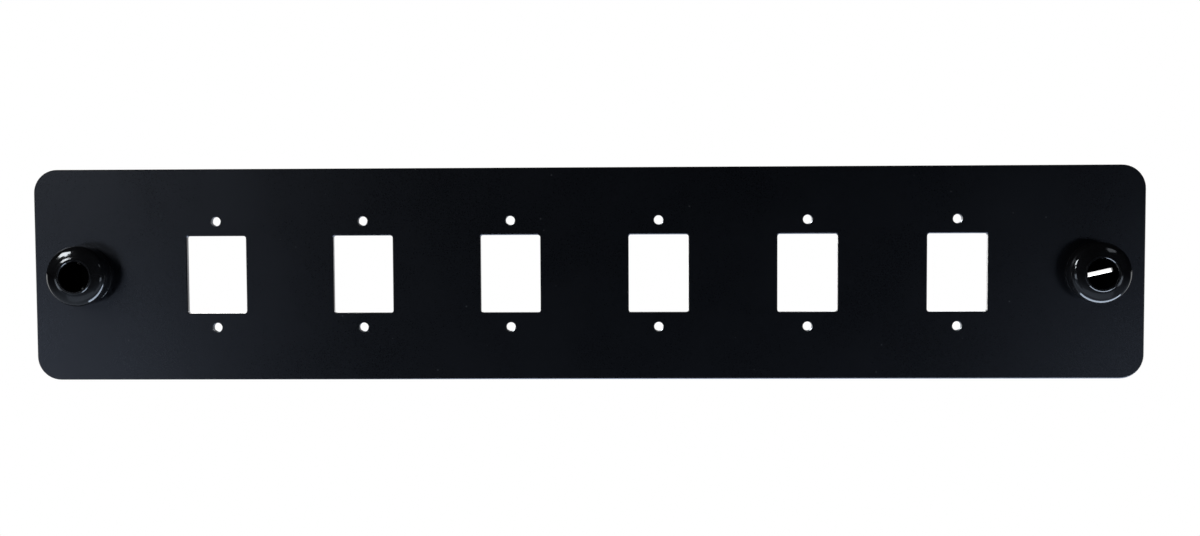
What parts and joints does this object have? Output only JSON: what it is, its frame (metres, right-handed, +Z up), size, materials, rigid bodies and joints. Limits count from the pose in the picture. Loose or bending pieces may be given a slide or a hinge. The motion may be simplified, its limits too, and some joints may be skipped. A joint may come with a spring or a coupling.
{
  "type": "fibre adapter plate",
  "caption": "Flat black steel plate with a row of rectangular fibre adapter openings, screw holes above and below each, and a push-pull latch near each end.",
  "frame": {"origin": "middle of the plate's rear face, which seats against the enclosure's frame", "axes": "+X along the plate, +Y out of the rear face, +Z up; the front faces -Y"},
  "size_m": [0.1872, 0.0135, 0.0358],
  "materials": {
    "plate_coat": "fine satin black powder coat",
    "latch_nylon": "glossy moulded black nylon"
  },
  "bodies": {
    "plate": {"adapter_plate": "plate_coat"},
    "left_grommet": {"latch_grommet_left": "latch_nylon"},
    "left_plunger": {"latch_plunger_left": "latch_nylon"},
    "right_grommet": {"latch_grommet_right": "latch_nylon"},
    "right_plunger": {"latch_plunger_right": "latch_nylon"}
  },
  "joints": [
    {"name": "left_latch_turn", "type": "hinge", "parent": "plate", "child": "left_grommet", "pos_m": [-0.0852, 0, 0], "axis": [0, -1, 0], "continuous": true},
    {"name": "left_latch_pull", "type": "slide", "parent": "left_grommet", "child": "left_plunger", "axis": [0, -1, 0], "range_m": [0, 0.005]},
    {"name": "right_latch_turn", "type": "hinge", "parent": "plate", "child": "right_grommet", "pos_m": [0.0852, 0, 0], "axis": [0, -1, 0], "continuous": true},
    {"name": "right_latch_pull", "type": "slide", "parent": "right_grommet", "child": "right_plunger", "axis": [0, -1, 0], "range_m": [0, 0.005]}
  ]
}
